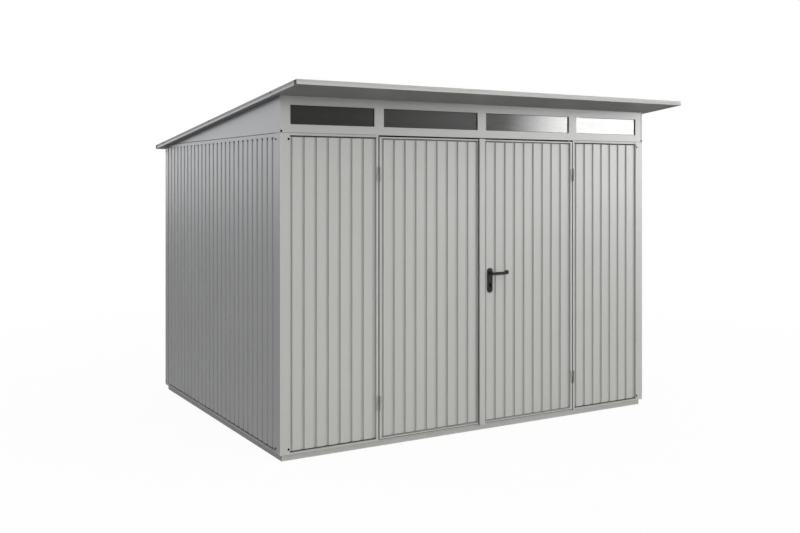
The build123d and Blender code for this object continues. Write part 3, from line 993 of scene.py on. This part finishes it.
@dataclass
class SideTrim(Fittings):
    """The upper ends of the side sheets' flats, the lip of the rail over them, and black plugs in
    the grooves' tops that are painted shade for the shadow under the rail.
    """

    first_end: float = 114.0
    flat_first: float = 142.0
    flat: float = 57.5
    pitch: float = 85.5
    count: int = 26
    low: float = 2019.4
    high: float = 2030.0
    least: float = 1.0
    roof_gap: float = 2.0
    flat_gap: float = 1.0
    sheet_depth: Span = (3.0, 4.2)
    lip_low: float = 2024.8
    lip_depth: Span = (0.0, 2.0)
    lip_gap: float = 0.5
    groove_edge: float = 4.0
    plug: float = 20.0
    plug_depth: Span = (5.5, 11.9)
    plug_rise: Span = (2013.0, 2025.8)

    def shape(self) -> None:
        """Add the flats' ends, the lips and the plugs on both sides; the plugs are painted shade.
        """
        tabs = self.start("side_sheet_ends", "sheet_paint")
        lips = self.start("side_rail_lips", "frame_paint")
        plugs = self.start("side_groove_shade_plugs", "rubber")
        starts = [self.flat_first + self.pitch * number for number in range(self.count)]
        flats = [(PLAN.post_side + self.flat_gap, self.first_end),
                 *((start, start + self.flat) for start in starts)]
        back = PLAN.depth - PLAN.post_side
        for mirrored, _ in SIDES:
            for flat in flats:
                high = min(self.high, PLAN.roof_under(flat[1]) - self.roof_gap)
                if high <= self.low + self.least:
                    continue
                tabs.bar(PLAN.across(self.sheet_depth, mirrored), flat, (self.low, high))
                # A near-black plug in each groove's top: painted shade for the shadow under the
                # rail.
                groove = flat[1] + self.groove_edge
                if groove + self.plug < back:
                    plugs.bar(PLAN.across(self.plug_depth, mirrored),
                              (groove, groove + self.plug), self.plug_rise)
            lips.bar(PLAN.across(self.lip_depth, mirrored),
                     inset((PLAN.post_side, back), self.lip_gap), (self.lip_low, self.high))


@dataclass
class SeamLines(Fittings):
    """Sealant in the seams round the top of the walls and beside the strip's right end, dark as
    painted shade for the shadow lines there.
    """

    side_span: Span = (6.0, 2225.0)
    side_depth: Span = (1.4, 3.2)
    side_half: float = 1.5
    front_start: float = 6.0
    front_depth: Span = (2.0, 3.2)
    front_half: float = 0.8
    end_offset: float = 9.5
    end_width: float = 3.2
    end_depth: Span = (-0.3, 0.0)
    end_gap: Span = (3.0, 1.0)

    def shape(self) -> None:
        """Lay the dark seam strips, which are painted shade."""
        piece = self.start("seam_shade_lines", "seam_shade_sealant")
        seam = PLAN.seam
        for mirrored, _ in SIDES:
            piece.bar(PLAN.across(self.side_depth, mirrored), self.side_span,
                      around(seam, self.side_half))
        for x in PLAN.beside_door(self.front_start, PLAN.jamb):
            piece.bar(x, self.front_depth, around(seam, self.front_half))
        end = PLAN.width - self.end_offset
        piece.bar((end - self.end_width, end), self.end_depth,
                  (seam + self.end_gap[0], PLAN.eave - self.end_gap[1]))


@dataclass
class HingeFixings(Fittings):
    """Screws in the wings of the hinges and the caps of their pins."""

    gap: float = 4.0
    wing_middle: float = 8.0
    plate: float = 2.5
    proud: float = 8.0
    half: float = 46.0
    spread: float = 13.0
    cap: Span = (0.0054, 0.0022)  # radius and depth in metres
    cap_bevel: float = 0.0009  # in metres

    def shape(self) -> None:
        """Put the screws and the caps on."""
        screws = {body: self.start(f"{body.value}_hinge_screws", "zinc", body) for body in Body}
        caps = {body: self.start(f"{body.value}_pin_caps", "hinge_paint", body)
                for body in (Body.LEFT_LEAF, Body.RIGHT_LEAF)}
        reach = self.gap + self.wing_middle
        for level in PLAN.hinge_levels:
            for body, pin, side in ((Body.LEFT_LEAF, PLAN.door_left + self.gap, 1.0),
                                    (Body.RIGHT_LEAF, PLAN.door_right - self.gap, -1.0)):
                for shift in around(0.0, self.spread / 2):
                    for owner, away, rise in ((Body.SHED, -side, -self.half / 2),
                                              (body, side, self.half / 2)):
                        FLAT_HEAD.add(screws[owner], PLAN.at(pin + away * reach, -self.plate,
                                                             level + rise + shift), FRONT)
                caps[body].drum(PLAN.at(pin, -self.proud, level + self.half), UP, *self.cap,
                                sides=24, bevel=self.cap_bevel)


@dataclass
class LockFittings(Fittings):
    """The screws, collars and key slots of the handle plates, and the lock's edge plates; the key
    slots are near-black marks of painted shade.
    """

    outer_face: float = -6.0
    inner_face: float = 39.0
    screw_inset: float = 18.0
    key_proud: float = 2.2
    slot_half: float = 1.2
    slot_proud: float = 0.3
    slot_reach: Span = (4.5, 4.0)
    disc: Span = (0.0072, 0.0001)  # radius and depth in metres
    lobe_half: float = 3.6
    lobe_proud: float = 0.08
    lobe_drop: Span = (22.0, 6.0)
    edge_half: float = 110.0
    edge_sheet: float = 0.8
    edge_depth: Span = (13.0, 29.0)
    strike_depth: Span = (12.0, 29.0)
    latch_proud: float = 2.6
    latch_depth: Span = (16.0, 26.0)
    latch_reach: Span = (18.0, 14.0)
    edge_screw_inset: float = 9.0
    edge_screw_depth: float = 21.0
    collar_sides: int = 28
    # A collar's section as radius and rise in metres.
    collar_section: tuple[Span, ...] = ((0.0088, 0.0), (0.0088, 0.003), (0.0112, 0.003),
                                        (0.0128, 0.0014), (0.0128, 0.0))

    def shape(self) -> None:
        """Add the fittings."""
        screws = self.start("handle_screws", "handle_black", Body.RIGHT_LEAF)
        collars = self.start("lever_collars", "handle_black", Body.RIGHT_LEAF)
        slots = self.start("keyhole_shade_marks", "keyhole_shade_black", Body.RIGHT_LEAF)
        x = PLAN.handle_x
        for face, way in ((self.outer_face, FRONT), (self.inner_face, BACK)):
            for z in inset(PLAN.plate, self.screw_inset):
                PLATE_HEAD.add(screws, PLAN.at(x, face, z), way)
            self.collar(collars, PLAN.at(x, face, PLAN.spindle), way)
            # The keyhole's slot, disc and lobe are near-black marks: painted shade for the hole.
            key = face + way.y * self.key_proud
            slots.bar(around(x, self.slot_half), (key, key + way.y * self.slot_proud),
                      (PLAN.key - self.slot_reach[0], PLAN.key + self.slot_reach[1]))
            slots.drum(PLAN.at(x, key, PLAN.key), way, *self.disc, sides=32)
            slots.bar(around(x, self.lobe_half), (key, key + way.y * self.lobe_proud),
                      (PLAN.key - self.lobe_drop[0], PLAN.key - self.lobe_drop[1]))
        rise = around((PLAN.plate[0] + PLAN.plate[1]) / 2, self.edge_half)
        right, left = PLAN.right_leaf[0], PLAN.left_leaf[1]
        edge = self.start("lock_edge_plate", "zinc", Body.RIGHT_LEAF)
        edge.bar((right - self.edge_sheet, right), self.edge_depth, rise, THIN_BEVEL)
        edge.bar((right - self.latch_proud, right - self.edge_sheet), self.latch_depth,
                 (PLAN.spindle - self.latch_reach[0], PLAN.spindle + self.latch_reach[1]),
                 SHEET_BEVEL)
        strike = self.start("strike_plate", "zinc", Body.LEFT_LEAF)
        strike.bar((left, left + self.edge_sheet), self.strike_depth, rise, THIN_BEVEL)
        for piece, foot, way in ((edge, right - self.edge_sheet, LEFT),
                                 (strike, left + self.edge_sheet, RIGHT)):
            for z in inset(rise, self.edge_screw_inset):
                FLAT_HEAD.add(piece, PLAN.at(foot, self.edge_screw_depth, z), way)

    def collar(self, piece: Piece, place: Vector, way: Vector) -> None:
        """Spin a ring round a lever's neck.

        Args:
            piece: The piece that the ring joins.
            place: The neck's middle on the plate's face.
            way: The way the neck points.
        """
        turn = way.to_track_quat("Z", "Y")
        ring = [piece.mesh.verts.new(place + turn @ Vector((radius, 0.0, rise)))
                for radius, rise in self.collar_section]
        sides = [piece.mesh.edges.new(pair) for pair in zip(ring, ring[1:] + ring[:1])]
        bmesh.ops.spin(piece.mesh, geom=ring + sides, cent=place, axis=way, angle=math.tau,
                       steps=self.collar_sides, use_merge=True)


@dataclass
class ShootBolts(Fittings):
    """The two sliding bolts on the inside of the left leaf."""

    x: float = 1468.0
    plate_half: float = 13.0
    plate_height: float = 150.0
    plate_sheet: float = 1.5
    feet: Span = (66.0, 1868.0)
    rod_radius: float = 0.0042  # in metres
    rod_stand: float = 6.5
    rod_drop: float = 8.0
    rod_bevel: float = 0.0008  # in metres
    round_bevel: float = 0.001  # in metres
    guide_half: float = 9.0
    guide_depth: float = 11.5
    guide_height: float = 8.0
    guide_inset: Span = (12.0, 20.0)
    knob: Span = (0.0045, 0.012)  # radius and depth in metres
    knob_stand: float = 9.0
    knob_share: float = 0.34
    screw_half: float = 8.0
    screw_inset: float = 6.0

    def shape(self) -> None:
        """Add both bolts."""
        piece = self.start("shoot_bolts", "zinc", Body.LEFT_LEAF)
        face = PLAN.leaf_depth
        plate = face + self.plate_sheet
        for foot in self.feet:
            top = foot + self.plate_height
            piece.bar(around(self.x, self.plate_half), (face, plate), (foot, top), SHEET_BEVEL)
            piece.drum(PLAN.at(self.x, face + self.rod_stand, foot - self.rod_drop), UP,
                       self.rod_radius, (self.plate_height + self.rod_drop) / 1000.0, sides=16,
                       bevel=self.rod_bevel)
            for z in (foot + self.guide_inset[0], foot + self.plate_height / 2,
                      top - self.guide_inset[1]):
                piece.bar(around(self.x, self.guide_half), (plate, face + self.guide_depth),
                          (z, z + self.guide_height), self.round_bevel)
            knob = PLAN.at(self.x, face + self.knob_stand,
                           foot + self.plate_height * self.knob_share)
            piece.drum(knob, BACK, *self.knob, sides=16, bevel=self.round_bevel)
            for z in inset((foot, top), self.screw_inset):
                for x in around(self.x, self.screw_half):
                    FLAT_HEAD.add(piece, PLAN.at(x, plate, z), BACK)


@dataclass
class InsideFixings(Fittings):
    """Brackets and bolts that are seen with the doors open."""

    wall: float = 2.0
    bracket: float = 46.0
    bracket_drop: float = 6.0
    bracket_lap: float = 1.0
    sheet: float = 2.5
    bolt_drops: Span = (12.0, 34.0)
    bolt_reach: float = 28.0
    bolt_back: float = 26.0
    base_edge: float = 79.0
    anchor_half: float = 35.0
    anchor_root: float = 30.0
    anchor_reach: float = 48.0
    anchor_rise: Span = (2.0, 5.0)
    anchor_bevel: float = 0.0005  # in metres
    anchors_front: tuple[float, ...] = (200.0, 560.0, 2500.0, 2860.0)
    anchors_side: tuple[float, ...] = (420.0, 1212.0, 2005.0)
    anchors_back: tuple[float, ...] = (500.0, 1530.0, 2560.0)
    foot_gap: float = 2.2
    foot_rise: Span = (0.2, 3.0)

    def shape(self) -> None:
        """Add the brackets, the anchors and the posts' foot plugs."""
        plates = self.start("beam_brackets", "zinc")
        for y in PLAN.beams:
            back = y + PLAN.beam_width
            high = PLAN.roof_under(back) - self.bracket_drop
            rise = (high - self.bracket, high)
            for x, side, way in ((self.wall, 1.0, RIGHT), (PLAN.width - self.wall, -1.0, LEFT)):
                lap = back + self.bracket_lap
                plates.bar((x, x + side * self.sheet), (lap, lap + self.bracket), rise,
                           SHEET_BEVEL)
                plates.bar((x, x + side * self.bracket), (back, back + self.sheet), rise,
                           SHEET_BEVEL)
                for drop in self.bolt_drops:
                    BOLT_HEAD.add(plates, PLAN.at(x + side * self.sheet, back + self.bolt_back,
                                                  high - drop), way)
                    BOLT_HEAD.add(plates, PLAN.at(x + side * self.bolt_reach, back + self.sheet,
                                                  high - drop), BACK)
        anchors = self.start("base_anchors", "zinc")
        for x in self.anchors_front:
            self.anchor(anchors, x, self.base_edge, (0.0, 1.0))
        for x in self.anchors_back:
            self.anchor(anchors, x, PLAN.depth - self.base_edge, (0.0, -1.0))
        for y in self.anchors_side:
            self.anchor(anchors, self.base_edge, y, (1.0, 0.0))
            self.anchor(anchors, PLAN.width - self.base_edge, y, (-1.0, 0.0))
        feet = self.start("post_foot_plugs", "rubber")
        rise = (PLAN.sill_top + self.foot_rise[0], PLAN.sill_top + self.foot_rise[1])
        for mirrored, _ in SIDES:
            for y in ((0.0, PLAN.post_side), (PLAN.depth - PLAN.post_side, PLAN.depth)):
                feet.bar(PLAN.across(inset((0.0, PLAN.post_face), self.foot_gap), mirrored),
                         inset(y, self.foot_gap), rise)

    def anchor(self, piece: Piece, x: float, y: float, way: Span) -> None:
        """Add a foot plate inside the base with its bolt.

        Args:
            piece: The piece that the plate joins.
            x: Where the base's inner edge is.
            y: Where the base's inner edge is.
            way: The way into the room.
        """
        spans = []
        for spot, step, other in ((x, way[0], way[1]), (y, way[1], way[0])):
            half = abs(other) * self.anchor_half
            spans.append((spot - step * self.anchor_root - half,
                          spot + step * self.anchor_reach + half))
        piece.bar(*spans, self.anchor_rise, self.anchor_bevel)
        half_way = self.anchor_reach / 2
        BOLT_HEAD.add(piece, PLAN.at(x + way[0] * half_way, y + way[1] * half_way,
                                     self.anchor_rise[1]), UP)


@dataclass
class SheetFixings(Fittings):
    """Small screws that hold the ribbed sheets to the rails, seen from inside."""

    flange_back: float = 15.2
    low: float = 68.0
    high: float = 2018.0
    side_high: float = 2012.0
    pitch: float = 253.5
    post_gap: float = 45.0
    door_gap: float = 55.0
    side_gaps: Span = (50.0, 160.0)

    def shape(self) -> None:
        """Put the screws on the inner faces of the rails."""
        piece = self.start("sheet_screws", "zinc")
        outer = PLAN.post_face + self.post_gap
        for z in (self.low, self.high):
            for span in PLAN.beside_door(outer, self.door_gap):
                for x in self.spread(*span):
                    PAN_HEAD.add(piece, PLAN.at(x, self.flange_back, z), BACK)
        for z in (self.low, self.side_high):
            for y in self.spread(PLAN.post_side + self.side_gaps[0],
                                 PLAN.depth - PLAN.post_side - self.side_gaps[1]):
                PAN_HEAD.add(piece, PLAN.at(self.flange_back, y, z), RIGHT)
                PAN_HEAD.add(piece, PLAN.at(PLAN.width - self.flange_back, y, z), LEFT)
        for x in self.spread(outer, PLAN.width - outer):
            PAN_HEAD.add(piece, PLAN.at(x, PLAN.depth - self.flange_back, self.low), FRONT)

    def spread(self, start: float, end: float) -> list[float]:
        """Space places evenly over a span.

        Args:
            start: The first place.
            end: The last place.

        Returns:
            The places.
        """
        count = max(2, round((end - start) / self.pitch) + 1)
        return [start + (end - start) * number / (count - 1) for number in range(count)]


class Shed:
    """The nodes of the frame, each dressed with the finish of its slot."""

    def dress(self, finishes: Finishes) -> None:
        """Dress every node.

        Args:
            finishes: The finishes to dress the nodes from.
        """
        slots = {part["node"]: part["material_slot"] for part in frame["record"]["subparts"]}
        for name, thing in frame["nodes"].items():
            finishes.dress(thing, slots[name])
        LOG.info("dressed %d nodes", len(frame["nodes"]))


@dataclass(frozen=True)
class SoftBox:
    """A round soft light far away, set by its direction in degrees."""

    azimuth: float
    elevation: float
    radius: float
    fade: float
    strength: float

    def direction(self) -> Vector:
        """Give the way from the shed to the light; azimuth 0 is straight in front."""
        turn = math.radians(self.azimuth)
        rise = math.radians(self.elevation)
        return Vector((math.sin(turn) * math.cos(rise), -math.cos(turn) * math.cos(rise),
                       math.sin(rise)))

    def shine(self, graph: Graph, way: Socket) -> Socket:
        """Write the light's brightness for a direction.

        Args:
            graph: The writer of the sky's nodes.
            way: The direction's socket.

        Returns:
            The brightness socket.
        """
        outer = math.cos(math.radians(self.radius + self.fade))
        inner = math.cos(math.radians(max(self.radius - self.fade, 0.0)))
        return graph.ramp(graph.dot(way, self.direction()), outer, inner, 0.0, self.strength)


@dataclass
class Studio:
    """The floor, the soft lights and the camera."""

    camera_place: Point = (-3.8733, -6.5675, 1.7546)
    camera_turn: float = 30.366
    focal_pixels: float = 951.7
    picture_width: float = 800.0
    picture_height: float = 533.0
    horizon_row: float = 180.12
    sensor: float = 36.0
    clip_end: float = 200.0
    floor_size: float = 60.0
    floor_level: float = -0.001
    floor_near: float = 3.5
    floor_far: float = 9.0
    floor_white: Colour = (0.9, 0.9, 0.9)
    floor_dark: Colour = (0.13, 0.13, 0.13)
    floor_light: Colour = (0.275, 0.272, 0.258)
    floor_turn: Span = (-2.6, -1.2)
    floor_glow: float = 0.94
    indoor_edge: Span = (-0.10, -0.03)
    indoor_glow: float = 0.12
    front_tone: Colour = (1.0, 0.995, 0.968)
    back_tone: Colour = (0.79, 0.815, 0.90)
    ground_tone: Colour = (0.18, 0.18, 0.175)
    tone_turn: Span = (-0.6, 0.3)
    horizon: Span = (-0.03, 0.03)
    shade: SoftBox = SoftBox(azimuth=8.0, elevation=0.0, radius=26.0, fade=12.0, strength=0.64)
    lights: tuple[SoftBox, ...] = (
        SoftBox(azimuth=50.3, elevation=2.0, radius=11.5, fade=2.5, strength=11.3),
        SoftBox(azimuth=54.0, elevation=8.0, radius=21.0, fade=7.0, strength=0.75),
        SoftBox(azimuth=-2.0, elevation=15.0, radius=11.0, fade=4.0, strength=5.3),
        SoftBox(azimuth=-167.0, elevation=5.0, radius=11.0, fade=7.0, strength=1.3))

    def build(self) -> None:
        """Set up everything round the object."""
        self.floor()
        self.sky()
        self.camera()

    def floor(self) -> None:
        """Lay a plain pale floor that fades into the surround."""
        mesh = bmesh.new()
        bmesh.ops.create_grid(mesh, x_segments=1, y_segments=1, size=self.floor_size,
                              matrix=Matrix.Translation((0.0, 0.0, self.floor_level)))
        thing = to_object(mesh, "floor")
        material = bpy.data.materials.new("floor_paper")
        material.use_nodes = True
        graph = Graph(material.node_tree)
        graph.tree.nodes.remove(graph.tree.nodes["Principled BSDF"])
        place = graph.add("ShaderNodeTexCoord").outputs["Object"]
        far = graph.add("ShaderNodeVectorMath", {0: place}, operation="LENGTH")
        fade = graph.math("MULTIPLY", self.indoors(graph, place), graph.ramp(
            far.outputs["Value"], self.floor_near, self.floor_far, self.floor_glow, 1.0))
        near = graph.add("ShaderNodeBsdfDiffuse", {"Color": opaque(*self.floor_white)})
        glow = graph.add("ShaderNodeEmission", {"Color": opaque(1.0, 1.0, 1.0)})
        seen = graph.add("ShaderNodeMixShader", {0: fade, 1: near.outputs[0],
                                                 2: glow.outputs[0]})
        dull = graph.mix(graph.ramp(graph.split(place)[0], *self.floor_turn),
                         opaque(*self.floor_dark), opaque(*self.floor_light))
        bounce = graph.add("ShaderNodeBsdfDiffuse", {"Color": dull})
        rays = graph.add("ShaderNodeLightPath").outputs["Is Camera Ray"]
        both = graph.add("ShaderNodeMixShader", {0: rays, 1: bounce.outputs[0],
                                                 2: seen.outputs[0]})
        graph.feed(both.outputs[0], graph.tree.nodes["Material Output"].inputs["Surface"])
        thing.data.materials.append(material)

    def indoors(self, graph: Graph, place: Socket) -> Socket:
        """Write how much of the floor's glow is left, which is little inside the walls.

        Args:
            graph: The writer of the floor's nodes.
            place: The floor's coordinates.

        Returns:
            The glow's share, from 0 to 1.
        """
        low = PLAN.at(0.0, 0.0, 0.0)
        high = PLAN.at(PLAN.width, PLAN.depth, 0.0)
        middle = (low + high) / 2
        half = (high - low) / 2
        parts = graph.split(place)
        gaps = []
        for axis in (0, 1):
            shift = graph.math("SUBTRACT", parts[axis], middle[axis])
            gaps.append(graph.math("SUBTRACT", graph.math("ABSOLUTE", shift), half[axis]))
        return graph.ramp(graph.math("MAXIMUM", *gaps), *self.indoor_edge, self.indoor_glow, 1.0)

    def sky(self) -> None:
        """Give the studio a bright surround with its soft lights."""
        world = bpy.data.worlds.new("studio")
        bpy.context.scene.world = world
        world.use_nodes = True
        graph = Graph(world.node_tree)
        way = graph.add("ShaderNodeTexCoord").outputs["Generated"]
        parts = graph.split(way)
        sky = graph.mix(graph.ramp(parts[1], *self.tone_turn), opaque(*self.front_tone),
                        opaque(*self.back_tone))
        dome = graph.mix(graph.ramp(parts[2], *self.horizon), opaque(*self.ground_tone), sky)
        held = graph.math("SUBTRACT", 1.0, self.shade.shine(graph, way))
        shines = [box.shine(graph, way) for box in self.lights]
        lit = shines[0]
        for shine in shines[1:]:
            lit = graph.math("ADD", lit, shine)
        total = graph.add("ShaderNodeVectorMath", {0: graph.scaled(dome, held), 1: lit},
                          operation="ADD")
        rays = graph.add("ShaderNodeLightPath").outputs["Is Camera Ray"]
        colour = graph.mix(rays, total.outputs[0], opaque(1.0, 1.0, 1.0))
        ground = graph.tree.nodes["Background"].inputs
        graph.feed(colour, ground["Color"])
        ground["Strength"].default_value = 1.0

    def camera(self) -> None:
        """Stand the camera where the picture was taken from."""
        data = bpy.data.cameras.new("camera")
        data.sensor_width = self.sensor
        data.lens = self.sensor * self.focal_pixels / self.picture_width
        data.shift_y = (self.horizon_row - self.picture_height / 2) / self.picture_width
        data.clip_end = self.clip_end
        thing = bpy.data.objects.new("camera", data)
        bpy.context.scene.collection.objects.link(thing)
        thing.location = self.camera_place
        thing.rotation_euler = (math.radians(90.0), 0.0, -math.radians(self.camera_turn))
        bpy.context.scene.camera = thing


def main() -> None:
    """Build the finishes, the shed's dress and fixings, and the studio."""
    logging.basicConfig(level=logging.INFO, format="%(name)s: %(message)s")
    bpy.context.scene.view_settings.view_transform = "Standard"
    finishes = Finishes(Effects())
    Shed().dress(finishes)
    for part in (WallFixings(), RoofFixings(), Glazing(), DoorGapShade(), SheetGapShade(),
                 SideTrim(), SeamLines(), HingeFixings(), LockFittings(), ShootBolts(),
                 InsideFixings(), SheetFixings()):
        part.build(finishes)
    Studio().build()


if __name__ == "__main__":
    main()
